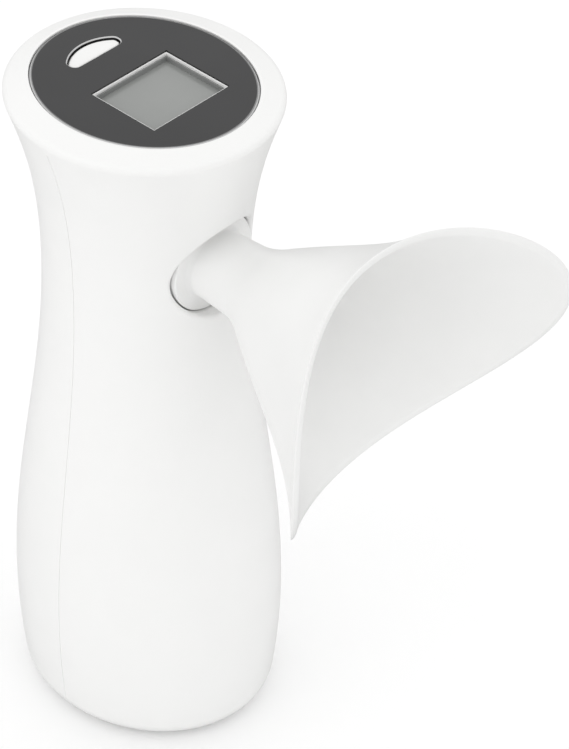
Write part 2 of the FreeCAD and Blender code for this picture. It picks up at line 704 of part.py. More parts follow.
def cup_flare():
    """The saddle-rimmed funnel as sewn faces: outside, rounded lip, inside and root."""
    shares = [(i + 1) / CUP_SECTIONS for i in range(CUP_SECTIONS)]
    outside = [neck_circle(NECK_RADIUS)] + [closed_curve(cup_ring(s, False)) for s in shares]
    inside = [neck_circle(NECK_BORE)] + [closed_curve(cup_ring(s, True)) for s in shares]
    outer_rim, inner_rim = cup_ring(1.0, False), cup_ring(1.0, True)
    crest = [(a + b) * 0.5 + Vector(0, -CUP_LIP, 0) for a, b in zip(outer_rim, inner_rim)]
    lip = [outside[-1], closed_curve(crest), inside[-1]]
    root = Part.Face([outside[0], inside[0]])
    faces = [root]
    for wires in (outside, lip, inside):
        faces += Part.makeLoft(wires, False, False).Faces
    shell = Part.Shell(faces)
    shell.sewShape()
    solid = Part.Solid(shell)
    solid.fix(1e-4, 1e-4, 1e-3)
    if solid.Volume < 0:
        solid.reverse()
    return solid


def neck_profile():
    """Half the section of spigot, flange and tapered neck, with the port's axis along Y."""
    disc_back = COLLAR_FACE - FLANGE_DISC
    root = NECK_ROOT_ROUND
    slope = (NECK_RADIUS - SPIGOT_RADIUS) / (NECK_END - COLLAR_FACE)
    neck_start = Vector(SPIGOT_RADIUS + slope * root, -COLLAR_FACE - root, 0)
    face_start = Vector(SPIGOT_RADIUS + root, -COLLAR_FACE, 0)
    hollow = Vector(SPIGOT_RADIUS + root * (1 - math.cos(math.pi / 4)),
                    -COLLAR_FACE - root * (1 - math.sin(math.pi / 4)), 0)
    before = [Vector(NECK_BORE, -NECK_END, 0), Vector(NECK_BORE, -SPIGOT_END, 0),
              Vector(SPIGOT_RADIUS - SPIGOT_LEAD / 2, -SPIGOT_END, 0),
              Vector(SPIGOT_RADIUS, -SPIGOT_END - SPIGOT_LEAD, 0), Vector(SPIGOT_RADIUS, -disc_back, 0),
              Vector(COLLAR_RADIUS, -disc_back, 0), Vector(COLLAR_RADIUS, -COLLAR_FACE + FLANGE_BEVEL, 0),
              Vector(COLLAR_RADIUS - FLANGE_BEVEL, -COLLAR_FACE, 0), face_start]
    after = [neck_start, Vector(NECK_RADIUS, -NECK_END, 0), before[0]]
    edges = [Part.makeLine(a, b) for a, b in zip(before, before[1:])]
    edges.append(Part.Arc(face_start, hollow, neck_start).toShape())
    edges += [Part.makeLine(a, b) for a, b in zip(after, after[1:])]
    return Part.Face(Part.Wire(edges))


def mouth_cup():
    """The funnel, its tapered neck with a round flange, and the spigot for the swivel sleeve."""
    neck = neck_profile().revolve(Vector(0, 0, 0), Vector(0, 1, 0), 360)
    neck.translate(Vector(0, 0, PORT_Z))
    groove_half = RING_GROOVE_DEPTH / 2 + SLIDING / 2
    groove = ring_y(SPIGOT_RADIUS + 1, SPIGOT_RADIUS - RING_GROOVE_DEPTH,
                    -RING_POSITION - groove_half, -RING_POSITION + groove_half)
    cup = cup_flare().fuse(neck).cut(groove)
    cup.rotate(Vector(0, 0, PORT_Z), Vector(0, 1, 0), -CUP_TURN)
    return cup


def neck_o_ring():
    """A seal whose section is eight-sided, turned about the port's axis."""
    section = RING_GROOVE_DEPTH / 2
    corners = [Vector(SPIGOT_RADIUS - section + section * math.cos(math.pi * (i + 0.5) / 4),
                      section * math.sin(math.pi * (i + 0.5) / 4), 0) for i in range(9)]
    ring = Part.Face(Part.makePolygon(corners)).revolve(Vector(0, 0, 0), Vector(0, 1, 0), 360)
    ring.translate(Vector(0, -RING_POSITION, PORT_Z))
    return ring


def swivel_collar():
    """The sleeve that turns in the socket, with a flange behind the cup's own."""
    face = COLLAR_FACE - FLANGE_DISC - SLIDING
    disc = rod_y(COLLAR_RADIUS - SLIDING, -face, -face + COLLAR_THICK)
    sleeve = rod_y(SLEEVE_RADIUS, -face, -SLEEVE_END)
    clip_y = -TUBE_FRONT + SLIDING
    groove = ring_y(SLEEVE_RADIUS + 1, SLEEVE_RADIUS - CLIP_GROOVE, clip_y, clip_y + CLIP_THICK)
    collar = fused(disc, sleeve).cut(rod_y(SPIGOT_RADIUS + RUNNING, -FAR, 0))
    return collar.cut(groove)


def retaining_ring():
    """An open snap ring that keeps the sleeve in the socket."""
    clip_y = -TUBE_FRONT + SLIDING
    ring = ring_y(SLEEVE_RADIUS + CLIP_REACH, SLEEVE_RADIUS - CLIP_GROOVE, clip_y, clip_y + CLIP_THICK)
    gap = box(-CLIP_REACH, CLIP_REACH, clip_y, clip_y + CLIP_THICK, PORT_Z - FAR, PORT_Z)
    return ring.cut(gap)


def port_socket():
    """The flanged ring that the swivel sleeve turns in."""
    return ring_y(COLLAR_RADIUS, SLEEVE_RADIUS + RUNNING, -SOCKET_FRONT, -TUBE_FRONT)


def flow_tube():
    outer = TUBE_BORE + TUBE_WALL
    barrel = rod_y(outer, -TUBE_FRONT, TUBE_BACK)
    flange = rod_y(COLLAR_RADIUS, -TUBE_FRONT, -TUBE_FRONT + FLANGE_LENGTH)
    half = SENSOR_WIDTH / 2 + LOOSE
    post_half = SENSOR_BOARD_WIDTH / 2 - 1
    posts = [box(-post_half, post_half, y - SENSOR_POST_THICK / 2, y + SENSOR_POST_THICK / 2,
                 PORT_Z + TUBE_BORE, PORT_Z + SENSOR_BOARD_LIFT) for y in (-SENSOR_POST_Y, SENSOR_POST_Y)]
    tube = barrel.fuse([flange] + posts)
    cuts = [rod_y(TUBE_BORE, -FAR, FAR)]
    cuts.append(rod_y(SLEEVE_RADIUS + CLIP_REACH + LOOSE, -TUBE_FRONT, -TUBE_FRONT + CLIP_POCKET))
    cuts.append(box(-half, half, -SENSOR_DEPTH / 2 - LOOSE, SENSOR_DEPTH / 2 + LOOSE,
                    PORT_Z, PORT_Z + outer + 1))
    cuts += [rod_z(SMALL_SCREW_RADIUS - RUNNING, PORT_Z + outer, PORT_Z + SENSOR_BOARD_LIFT, 0, y)
             for y in (-SENSOR_POST_Y, SENSOR_POST_Y)]
    return tube.cut(cuts).removeSplitter()


def vane_section(y, turn, side):
    """A thin rectangle across the flow, turned about the tube's axis."""
    root = SWIRLER_HUB - VANE_THICK / 2
    tip = TUBE_BORE - SWIRLER_RING / 2
    half = VANE_THICK / 2
    corners = [(root, -half), (tip, -half), (tip, half), (root, half), (root, -half)]
    angle = math.radians(turn)
    points = [Vector(x * math.cos(angle) - z * math.sin(angle), y * side,
                     PORT_Z + x * math.sin(angle) + z * math.cos(angle)) for x, z in corners]
    return Part.makePolygon(points)


def swirler(side):
    """A ring, a hub and twisted vanes that set the air turning before the rotor."""
    y0, y1 = SWIRLER_START, SWIRLER_START + SWIRLER_LENGTH
    low, high = min(side * y0, side * y1), max(side * y0, side * y1)
    ring = ring_y(TUBE_BORE, TUBE_BORE - SWIRLER_RING, low, high)
    hub = rod_y(SWIRLER_HUB, low, high)
    vanes = []
    for i in range(VANE_COUNT):
        start = 360.0 * i / VANE_COUNT
        wires = [vane_section(y0 + SWIRLER_LENGTH * s, start + VANE_TWIST * s, side) for s in (0.0, 0.5, 1.0)]
        vanes.append(Part.makeLoft(wires, True, False))
    seat_depth = BEARING_LENGTH + LOOSE
    seat_low, seat_high = min(side * y0, side * (y0 + seat_depth)), max(side * y0, side * (y0 + seat_depth))
    body = ring.fuse([hub] + vanes)
    return body.cut(rod_y(BEARING_RADIUS, seat_low, seat_high))


def rotor_bearings():
    rings = []
    for side in (-1, 1):
        y0 = min(side * SWIRLER_START, side * (SWIRLER_START + BEARING_LENGTH))
        rings.append(ring_y(BEARING_RADIUS, SHAFT_RADIUS + RUNNING, y0, y0 + BEARING_LENGTH))
    return Part.makeCompound(rings)


def turbine_rotor():
    """A flat two-bladed vane with a slim hub on the shaft."""
    blade = box(-ROTOR_RADIUS, ROTOR_RADIUS, -ROTOR_HALF_LENGTH, ROTOR_HALF_LENGTH,
                PORT_Z - ROTOR_THICK / 2, PORT_Z + ROTOR_THICK / 2)
    hub = rod_y(ROTOR_HUB, -ROTOR_HALF_LENGTH, ROTOR_HALF_LENGTH)
    return fused(blade, hub).cut(rod_y(SHAFT_RADIUS, -FAR, FAR))


def rotor_shaft():
    reach = SWIRLER_START + BEARING_LENGTH
    return rod_y(SHAFT_RADIUS, -reach, reach)


def ir_sensor():
    z0 = PORT_Z + TUBE_BORE + SLIDING
    return box(-SENSOR_WIDTH / 2, SENSOR_WIDTH / 2, -SENSOR_DEPTH / 2, SENSOR_DEPTH / 2,
               z0, PORT_Z + SENSOR_BOARD_LIFT)


def sensor_board():
    z0 = PORT_Z + SENSOR_BOARD_LIFT
    board = box(-SENSOR_BOARD_WIDTH / 2, SENSOR_BOARD_WIDTH / 2, -SENSOR_BOARD_DEPTH / 2,
                SENSOR_BOARD_DEPTH / 2, z0, z0 + SENSOR_BOARD_THICK)
    holes = [rod_z(SMALL_SCREW_RADIUS + SLIDING, z0 - 1, z0 + SENSOR_BOARD_THICK + 1, 0, y)
             for y in (-SENSOR_POST_Y, SENSOR_POST_Y)]
    return board.cut(holes)


def sensor_screws():
    screws = []
    for y in (-SENSOR_POST_Y, SENSOR_POST_Y):
        length = SENSOR_BOARD_THICK + SENSOR_BOARD_LIFT - TUBE_BORE - TUBE_WALL - LOOSE
        one = screw(SMALL_HEAD_RADIUS, SMALL_HEAD_HEIGHT, SMALL_SCREW_RADIUS - 2 * RUNNING, length)
        one.rotate(Vector(0, 0, 0), Vector(1, 0, 0), 180)
        one.translate(Vector(0, y, PORT_Z + SENSOR_BOARD_LIFT + SENSOR_BOARD_THICK))
        screws.append(one)
    return Part.makeCompound(screws)


def sensor_ribbon():
    """A flat cable that bows between the sensor board and the main board."""
    low = PORT_Z + SENSOR_BOARD_LIFT + SENSOR_BOARD_THICK
    middle = (low + BOARD_BOTTOM) / 2
    x = SENSOR_BOARD_WIDTH / 2 - RIBBON_WIDTH

    def bow(y):
        arc = Part.Arc(Vector(x, y, low), Vector(x, y + RIBBON_BOW, middle), Vector(x, y, BOARD_BOTTOM))
        return arc.toShape()

    near, far = bow(RIBBON_Y), bow(RIBBON_Y + RIBBON_THICK)
    ends = [Part.makeLine(near.Vertexes[i].Point, far.Vertexes[i].Point) for i in (0, 1)]
    outline = Part.Wire(Part.__sortEdges__([near, ends[1], far, ends[0]]))
    return Part.Face(outline).extrude(Vector(RIBBON_WIDTH, 0, 0))


def battery_holder():
    """The tray for two cells, open to the door and trimmed to the rear wall."""
    wide = CELL_X + CELL_RADIUS + SLIDING * 4
    tray = box(-wide - HOLDER_WALL, wide + HOLDER_WALL, HOLDER_BACK, FAR, HOLDER_BOTTOM, HOLDER_TOP)
    room = box(-wide, wide, HOLDER_BACK + HOLDER_WALL, FAR, HOLDER_FLOOR, HOLDER_CEILING)
    rib_low = HOLDER_FLOOR + CONTACT_THICK + SLIDING
    middle_rib = box(-HOLDER_WALL / 4, HOLDER_WALL / 4, HOLDER_BACK, CELL_Y, rib_low, HOLDER_CEILING)
    tray = tray.cut(room).fuse(middle_rib).common(column(WALL + SLIDING))
    slots = [box(x - CONTACT_WIDTH / 4 - SLIDING, x + CONTACT_WIDTH / 4 + SLIDING,
                 HOLDER_BACK + HOLDER_WALL, HOLDER_BACK + HOLDER_WALL + CONTACT_THICK + SLIDING,
                 HOLDER_CEILING - 1, HOLDER_TOP + 1) for x in (-CELL_X, CELL_X)]
    relief = door_outline(LOOSE, half_depth(DOOR_HIGH) - WALL - DOOR_FINGER_LENGTH - LOOSE, FAR)
    fingers = box(-DOOR_FINGER_WIDTH / 2 - LOOSE, DOOR_FINGER_WIDTH / 2 + LOOSE, 0, FAR, 0, FAR)
    return tray.cut(slots + [relief.common(fingers)])


def battery_cells():
    """Two cells side by side, the second one upside down."""
    low = HOLDER_FLOOR + CONTACT_THICK
    first_z = low + SPRING_LENGTH
    first = fused(rod_z(CELL_RADIUS, first_z, first_z + CELL_LENGTH, CELL_X, CELL_Y),
                  rod_z(CELL_NUB_RADIUS, first_z, first_z + CELL_LENGTH + CELL_NUB, CELL_X, CELL_Y))
    second_z = low + CELL_NUB
    second = fused(rod_z(CELL_RADIUS, second_z, second_z + CELL_LENGTH, -CELL_X, CELL_Y),
                   rod_z(CELL_NUB_RADIUS, low, second_z + CELL_LENGTH, -CELL_X, CELL_Y))
    return Part.makeCompound([first, second])


def battery_contacts():
    """A bridge plate below the cells, and a plate with a solder tab above each."""
    low = HOLDER_FLOOR
    half = CONTACT_WIDTH / 2
    y0 = HOLDER_BACK + HOLDER_WALL
    y1 = CELL_Y + half
    bridge = box(-CELL_X - half / 2, CELL_X + half / 2, CELL_Y - half / 2, y1, low, low + CONTACT_THICK)
    plates = [bridge]
    for x in (-CELL_X, CELL_X):
        plate = box(x - half / 2, x + half / 2, y0, y1, HOLDER_CEILING - CONTACT_THICK, HOLDER_CEILING)
        tab = box(x - half / 2, x + half / 2, y0, y0 + CONTACT_THICK, HOLDER_CEILING - CONTACT_THICK,
                  HOLDER_TOP + CONTACT_TAB)
        plates.append(plate.fuse(tab).removeSplitter())
    return Part.makeCompound(plates)


def coil(x, z0, z1):
    """An open coil of square wire with its middle line on a helix."""
    rise = z1 - z0 - SPRING_WIRE
    helix = Part.makeHelix(rise / SPRING_TURNS, rise, SPRING_RADIUS)
    half = SPRING_WIRE / 2
    corners = [(-half, -half), (half, -half), (half, half), (-half, half), (-half, -half)]
    section = Part.makePolygon([Vector(SPRING_RADIUS + a, 0, b) for a, b in corners])
    spring = Part.Wire(helix).makePipeShell([section], True, True)
    spring.translate(Vector(x, CELL_Y, z0 + half))
    return spring


def battery_springs():
    low = HOLDER_FLOOR + CONTACT_THICK
    high = HOLDER_CEILING - CONTACT_THICK
    return Part.makeCompound([coil(CELL_X, low, low + SPRING_LENGTH),
                              coil(-CELL_X, high - SPRING_LENGTH, high)])


def rounded_path(points):
    """Straight runs joined by tangent arcs, as large as the runs allow."""
    edges = []
    start = points[0]
    for before, corner, after in zip(points, points[1:], points[2:]):
        back = (before - corner).normalize()
        ahead = (after - corner).normalize()
        run = min((before - corner).Length, (after - corner).Length) * 0.45
        half_turn = (math.pi - back.getAngle(ahead)) / 2
        into, out = corner + back * run, corner + ahead * run
        radius = run / math.tan(half_turn)
        middle_way = (back + ahead).normalize()
        centre = corner + middle_way * (radius / math.cos(half_turn))
        edges.append(Part.makeLine(start, into))
        edges.append(Part.Arc(into, centre - middle_way * radius, out).toShape())
        start = out
    edges.append(Part.makeLine(start, points[-1]))
    return Part.Wire(edges)


def battery_leads():
    """Two insulated wires from the solder tabs up past the flow tube to the main board."""
    leads = []
    tab_y = HOLDER_BACK + HOLDER_WALL + CONTACT_THICK / 2
    for side in (-1, 1):
        low = HOLDER_TOP + CONTACT_TAB
        points = [Vector(side * CELL_X, tab_y, low), Vector(side * CELL_X, tab_y, low + LEAD_RISE),
                  Vector(side * LEAD_X, LEAD_Y, low + LEAD_SPREAD),
                  Vector(side * LEAD_X, LEAD_Y, BOARD_BOTTOM - LEAD_DROP),
                  Vector(side * (LEAD_X - LEAD_LEAN), LEAD_Y, BOARD_BOTTOM)]
        path = rounded_path(points)
        start = Part.Wire([Part.makeCircle(LEAD_RADIUS, points[0], Vector(0, 0, 1))])
        leads.append(path.makePipeShell([start], True, True))
    return Part.makeCompound(leads)


def main():
    os.makedirs("parts", exist_ok=True)
    nodes = {
        "front_shell": front_shell,
        "rear_shell": rear_shell,
        "base_pad": base_pad,
        "case_screws": case_screws,
        "display_panel": display_panel,
        "display_carrier": display_carrier,
        "lcd_bezel": lcd_bezel,
        "lcd_glass": lcd_glass,
        "zebra_strips": zebra_strips,
        "main_board": main_board,
        "board_chips": board_chips,
        "board_screws": board_screws,
        "tact_switch": tact_switch,
        "switch_plunger": switch_plunger,
        "power_button": power_button,
        "mouth_cup": mouth_cup,
        "neck_o_ring": neck_o_ring,
        "swivel_collar": swivel_collar,
        "retaining_ring": retaining_ring,
        "port_socket": port_socket,
        "flow_tube": flow_tube,
        "inlet_swirler": lambda: swirler(-1),
        "outlet_swirler": lambda: swirler(1),
        "rotor_bearings": rotor_bearings,
        "turbine_rotor": turbine_rotor,
        "rotor_shaft": rotor_shaft,
        "ir_sensor": ir_sensor,
        "sensor_board": sensor_board,
        "sensor_screws": sensor_screws,
        "sensor_ribbon": sensor_ribbon,
        "battery_holder": battery_holder,
        "battery_cells": battery_cells,
        "battery_contacts": battery_contacts,
        "battery_springs": battery_springs,
        "battery_leads": battery_leads,
        "battery_door": battery_door,
    }
    for name, make in nodes.items():
        shape = make()
        shape.exportStep("parts/" + name + ".step")
        print(name, len(shape.Solids), shape.isValid(), round(shape.Volume, 1))


main()
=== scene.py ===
import json
import math

import bmesh
import bpy
from mathutils import Matrix, Vector

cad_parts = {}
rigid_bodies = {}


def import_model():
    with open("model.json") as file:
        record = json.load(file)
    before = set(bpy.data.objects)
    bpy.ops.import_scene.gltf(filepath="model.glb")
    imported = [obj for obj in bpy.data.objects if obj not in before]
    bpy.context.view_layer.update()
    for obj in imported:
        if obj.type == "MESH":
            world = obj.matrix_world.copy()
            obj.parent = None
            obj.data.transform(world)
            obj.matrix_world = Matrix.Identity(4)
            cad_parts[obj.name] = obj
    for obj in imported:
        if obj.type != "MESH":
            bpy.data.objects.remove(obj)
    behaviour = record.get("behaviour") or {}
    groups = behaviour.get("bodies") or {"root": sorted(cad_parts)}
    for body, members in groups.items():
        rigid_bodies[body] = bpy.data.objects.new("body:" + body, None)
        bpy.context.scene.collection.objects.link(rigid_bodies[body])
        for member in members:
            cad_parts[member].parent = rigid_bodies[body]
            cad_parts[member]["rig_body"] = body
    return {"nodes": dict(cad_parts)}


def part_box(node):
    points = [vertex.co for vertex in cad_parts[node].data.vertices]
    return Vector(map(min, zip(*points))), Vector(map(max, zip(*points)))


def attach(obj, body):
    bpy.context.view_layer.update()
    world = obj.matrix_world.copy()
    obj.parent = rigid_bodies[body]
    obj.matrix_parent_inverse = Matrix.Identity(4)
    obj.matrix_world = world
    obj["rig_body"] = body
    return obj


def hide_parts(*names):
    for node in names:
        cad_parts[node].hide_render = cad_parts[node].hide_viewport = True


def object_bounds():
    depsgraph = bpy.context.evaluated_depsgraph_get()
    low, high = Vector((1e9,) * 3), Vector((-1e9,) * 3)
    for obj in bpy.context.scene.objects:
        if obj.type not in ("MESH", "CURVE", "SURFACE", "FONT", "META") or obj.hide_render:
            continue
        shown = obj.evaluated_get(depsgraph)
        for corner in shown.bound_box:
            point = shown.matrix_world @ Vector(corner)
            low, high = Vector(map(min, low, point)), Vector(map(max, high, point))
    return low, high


# Hand-held electronic incentive spirometer on a white studio table.
# Metres, Z up, the mouth cup points along -Y.

MM = 0.001

# Camera, solved from the ovals of the body, the panel and the cup
CAMERA_AZIMUTH = -47.983
CAMERA_ELEVATION = 40.133
CAMERA_ROLL = 1.484
CAMERA_DISTANCE = 768.667 * MM
CAMERA_ASIDE = 32.052 * MM
CAMERA_LIFT = 5.067 * MM
FRAME_HEIGHT = 749
FOCAL_PIXELS = 3300.0
SENSOR = 36.0
CLIP_START = 10.0 * MM

# The display panel's own zones
PANEL_HALF_WIDTH = 23.3 * MM
PANEL_HALF_DEPTH = 26.5 * MM
PANEL_BEVEL = 0.25 * MM
CLEAR_BORDER = 0.5 * MM
WINDOW_BACK = 9.0 * MM
HAIR = 0.02 * MM

# The mouth cup: a turned neck, and a funnel whose rim is a saddle curve
PORT_Z = 136.6 * MM
COLLAR_FACE = 21.2 * MM
COLLAR_RADIUS = 12.0 * MM
FLANGE_DISC = 1.3 * MM
FLANGE_BEVEL = 0.3 * MM
SPIGOT_RADIUS = 8.2 * MM
SPIGOT_END = 9.6 * MM
SPIGOT_LEAD = 0.8 * MM
SEAL_PLACE = 13.5 * MM
SEAL_DEPTH = 1.2 * MM
SEAL_HALF_WIDTH = 0.65 * MM
NECK_ROOT_ROUND = 1.2 * MM
NECK_RADIUS = 8.85 * MM
NECK_BORE = 6.2 * MM
NECK_END = 34.4 * MM
NECK_BLEND = 4.0 * MM
NECK_SWELL = 0.6 * MM
CUP_TURN = -5.0
CUP_SIZES = {
    "Half width": 45.0 * MM,
    "Half height": 30.8 * MM,
    "Reach": 76.3 * MM,
    "Saddle": 10.0 * MM,
    "Lean": 2.8 * MM,
    "Shift": -1.8 * MM,
    "Wall": 2.1 * MM,
    "Lip": 0.6 * MM,
    "Opening": 1.02,
    "Draw": -0.32,
    "Flare": 0.30,
    "Neck radius": NECK_RADIUS,
    "Bore": NECK_BORE,
    "Neck end": NECK_END,
    "Swell": NECK_SWELL,
    "Blend": 0.095,
}
CUP_STEPS_ROUND = 192
CUP_STEPS_ALONG = 96
LIP_STEPS = 12
PROFILE_STEPS = 8

# The two contact springs, one for each cell
SPRING_SIZES = {
    "Wire": 0.3 * MM,
    "Coil radius": 2.6 * MM,
    "Length": 5.4 * MM,
    "Turns": 3.0,
}
SPRING_STEPS = 24
WIRE_SIDES = 12
CELL_X = 6.2 * MM
CELL_Y = 15.0 * MM

# Surface finishes
NOISE_LOW = 0.3
NOISE_HIGH = 0.7
SPARK_GRAIN = 0.45 * MM
SPARK_DEPTH = 0.004 * MM
FLOW_MARK = 14.0 * MM
STRIP_GRAIN = 0.1 * MM
MASK_GRAIN = 0.8 * MM
WEAVE_DEPTH = 0.02 * MM
PLATING_GRAIN = 0.5 * MM
TABLE_MOTTLE = 200.0 * MM
CREASE = 60.0

# The wide table and the softbox at the side
TABLE_HALF = 4.0
SOFTBOX_PLACE = (-1.2, 0.4, 0.6)
SOFTBOX_SIZE = 1.0
SOFTBOX_POWER = 1.0
AIM_HEIGHT = 100.0 * MM

# The white room, and how grey reflections see its table and its walls
ROOM_LEVEL = 1.045
# Painted reflection: the table's colour in glossy rays only, darker than the white it shows the camera.
PAINTED_TABLE_REFLECTION = "#A0A0A0"
REFLECTED_WALL = 0.4
WALL_FOOT = 0.1
WALL_TOP = 0.55

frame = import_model()
cad_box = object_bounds()
nodes = frame["nodes"]


def linear(hex_code):
    """An sRGB hex colour as linear values."""
    channels = [int(hex_code[i:i + 2], 16) / 255 for i in (1, 3, 5)]
    return tuple(c / 12.92 if c <= 0.04045 else ((c + 0.055) / 1.055) ** 2.4 for c in channels) + (1.0,)


def add(tree, kind, inputs=None, **settings):
    """Adds a node with its settings, and feeds its sockets with values or other sockets."""
    made = tree.nodes.new(kind)
    for name, value in settings.items():
        setattr(made, name, value)
    for name, value in (inputs or {}).items():
        if isinstance(value, bpy.types.NodeSocket):
            tree.links.new(value, made.inputs[name])
        else:
            made.inputs[name].default_value = value
    return made


def new_material(name):
    material = bpy.data.materials.new(name)
    material.use_nodes = True
    material.node_tree.nodes.clear()
    return material, material.node_tree


def close_material(material, tree, shader):
    add(tree, "ShaderNodeOutputMaterial", {"Surface": shader.outputs[0]})
    return material


def noise_between(tree, size, low, high, detail=3.0):
    """Noise on object coordinates, with lumps of a real size, as a value between low and high."""
    place = add(tree, "ShaderNodeTexCoord")
    noise = add(tree, "ShaderNodeTexNoise", {"Vector": place.outputs["Object"], "Scale": 1 / size, "Detail": detail})
    spread = add(tree, "ShaderNodeMapRange", {"Value": noise.outputs["Fac"], "From Min": NOISE_LOW,
                                              "From Max": NOISE_HIGH, "To Min": low, "To Max": high})
    return spread.outputs[0]


def colour_between(tree, share, first, second):
    """A colour part of the way from the first to the second; each is a hex code or a socket."""
    ends = [linear(c) if isinstance(c, str) else c for c in (first, second)]
    mix = add(tree, "ShaderNodeMix", {"Factor": share, "A": ends[0], "B": ends[1]}, data_type="RGBA")
    return mix.outputs["Result"]


def moulded_plastic(name, colour, second_colour, roughness, ior, grain=SPARK_GRAIN):
    """Injection-moulded plastic: a fine texture from the mould, and a slow change of gloss where it flowed."""
    material, tree = new_material(name)
    tint = colour_between(tree, noise_between(tree, FLOW_MARK, 0.0, 1.0), colour, second_colour)
    gloss = noise_between(tree, FLOW_MARK / 2, roughness * 0.93, roughness * 1.07)
    bump = add(tree, "ShaderNodeBump", {"Height": noise_between(tree, grain, 0.0, 1.0, 1.0), "Distance": SPARK_DEPTH})
    shader = add(tree, "ShaderNodeBsdfPrincipled", {"Base Color": tint, "Roughness": gloss, "IOR": ior,
                                                    "Normal": bump.outputs[0]})
    return close_material(material, tree, shader)


def plated_steel(name, colour, second_colour, roughness):
    """Plated steel: a dull metal mirror with patchy gloss from the bath."""
    material, tree = new_material(name)
    tint = colour_between(tree, noise_between(tree, PLATING_GRAIN * 4, 0.0, 1.0), colour, second_colour)
    gloss = noise_between(tree, PLATING_GRAIN, roughness * 0.8, roughness * 1.2)
    shader = add(tree, "ShaderNodeBsdfPrincipled", {"Base Color": tint, "Roughness": gloss, "Metallic": 1.0})
    return close_material(material, tree, shader)


def tinted_acrylic():
    """Cast acrylic sheet printed dark below, with a clear border; the bevels at the border and past the window's back
    are painted light grey as a painted highlight, other edges and hole walls are black print.
    """
    material, tree = new_material("printed acrylic sheet")
    place = add(tree, "ShaderNodeTexCoord").outputs["Object"]
    part = add(tree, "ShaderNodeSeparateXYZ", {0: place}).outputs
    scaled = add(tree, "ShaderNodeVectorMath", {0: place, 1: (1 / PANEL_HALF_WIDTH, 1 / PANEL_HALF_DEPTH, 0)},
                 operation="MULTIPLY")
    ring = add(tree, "ShaderNodeVectorMath", {0: scaled.outputs[0]}, operation="LENGTH")
    border = add(tree, "ShaderNodeMath", {0: ring.outputs["Value"], 1: 1 - CLEAR_BORDER / PANEL_HALF_WIDTH},
                 operation="GREATER_THAN")
    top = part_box("display_panel")[1].z
    past_window = add(tree, "ShaderNodeMath", {0: part["Y"], 1: WINDOW_BACK}, operation="GREATER_THAN")
    bevelled = add(tree, "ShaderNodeMath", {0: past_window.outputs[0], 1: border.outputs[0]}, operation="MAXIMUM")
    high = add(tree, "ShaderNodeMath", {0: part["Z"], 1: top - PANEL_BEVEL - HAIR}, operation="GREATER_THAN")
    painted_highlight = add(tree, "ShaderNodeMath", {0: high.outputs[0], 1: bevelled.outputs[0]}, operation="MULTIPLY")
    face = add(tree, "ShaderNodeMath", {0: part["Z"], 1: top - HAIR}, operation="GREATER_THAN")
    print_tint = colour_between(tree, noise_between(tree, FLOW_MARK, 0.0, 1.0), "#222223", "#262627")
    face_tint = colour_between(tree, border.outputs[0], print_tint, "#7C7C7C")
    # Painted highlight: #C9C9C9 on these bevels stands in for light reflected off the chamfer; #101010 is the black
    # print on the walls.
    edge_tint = colour_between(tree, painted_highlight.outputs[0], "#101010", "#C9C9C9")
    tint = colour_between(tree, face.outputs[0], edge_tint, face_tint)
    gloss = noise_between(tree, FLOW_MARK, 0.05, 0.08)
    shader = add(tree, "ShaderNodeBsdfPrincipled", {"Base Color": tint, "Roughness": gloss, "IOR": 1.49})
    return close_material(material, tree, shader)


def display_glass(name, colour, second_colour):
    """A grey, glossy piece of the display: the cell under its polariser, or the liner that stands on it."""
    material, tree = new_material(name)
    tint = colour_between(tree, noise_between(tree, FLOW_MARK, 0.0, 1.0), colour, second_colour)
    gloss = noise_between(tree, FLOW_MARK, 0.12, 0.18)
    shader = add(tree, "ShaderNodeBsdfPrincipled", {"Base Color": tint, "Roughness": gloss, "IOR": 1.52})
    return close_material(material, tree, shader)


def solder_masked_board():
    """Glass-fibre board under green solder mask, with the weave just showing."""
    material, tree = new_material("solder masked board")
    tint = colour_between(tree, noise_between(tree, MASK_GRAIN, 0.0, 1.0), "#1E5A33", "#256B3D")
    bump = add(tree, "ShaderNodeBump", {"Height": noise_between(tree, MASK_GRAIN, 0.0, 1.0, 1.0),
                                        "Distance": WEAVE_DEPTH})
    shader = add(tree, "ShaderNodeBsdfPrincipled", {"Base Color": tint, "Roughness": 0.35, "IOR": 1.55,
                                                    "Normal": bump.outputs[0]})
    return close_material(material, tree, shader)


def studio_white():
    """White table with the object's soft shadow; reflections see it painted grey, a painted darker reflection that
    shades the object's rims.
    """
    material, tree = new_material("studio white")
    tint = colour_between(tree, noise_between(tree, TABLE_MOTTLE, 0.0, 1.0), "#FCFCFC", "#FDFDFD")
    mirrored = add(tree, "ShaderNodeLightPath").outputs["Is Glossy Ray"]
    # Painted reflection: glossy rays see the table grey, so the rims that mirror it come out shaded.
    tint = colour_between(tree, mirrored, tint, PAINTED_TABLE_REFLECTION)
    shader = add(tree, "ShaderNodeBsdfDiffuse", {"Color": tint})
    return close_material(material, tree, shader)


shell_abs = moulded_plastic("satin moulded ABS", "#F2F2F1", "#F3F3F2", 0.42, 1.53)
cup_polypropylene = moulded_plastic("moulded polypropylene", "#EEEEED", "#F0F0EF", 0.38, 1.49)
collar_acetal = moulded_plastic("moulded acetal", "#EBEBEA", "#EDEDEC", 0.35, 1.48)
frame_abs = moulded_plastic("white ABS frame", "#F0F0EF", "#F1F1F0", 0.4, 1.53)
key_abs = moulded_plastic("polished ABS key", "#F0F0EF", "#F2F2F1", 0.18, 1.53)
black_abs = moulded_plastic("black ABS", "#1B1B1C", "#202021", 0.45, 1.53)
foot_silicone = moulded_plastic("moulded silicone rubber", "#B9B9B8", "#BEBEBD", 0.7, 1.41)
seal_silicone = moulded_plastic("silicone seal", "#DADAD8", "#DEDEDC", 0.5, 1.41)
tube_polycarbonate = moulded_plastic("polycarbonate tube", "#D5D7DA", "#D9DBDD", 0.25, 1.58)
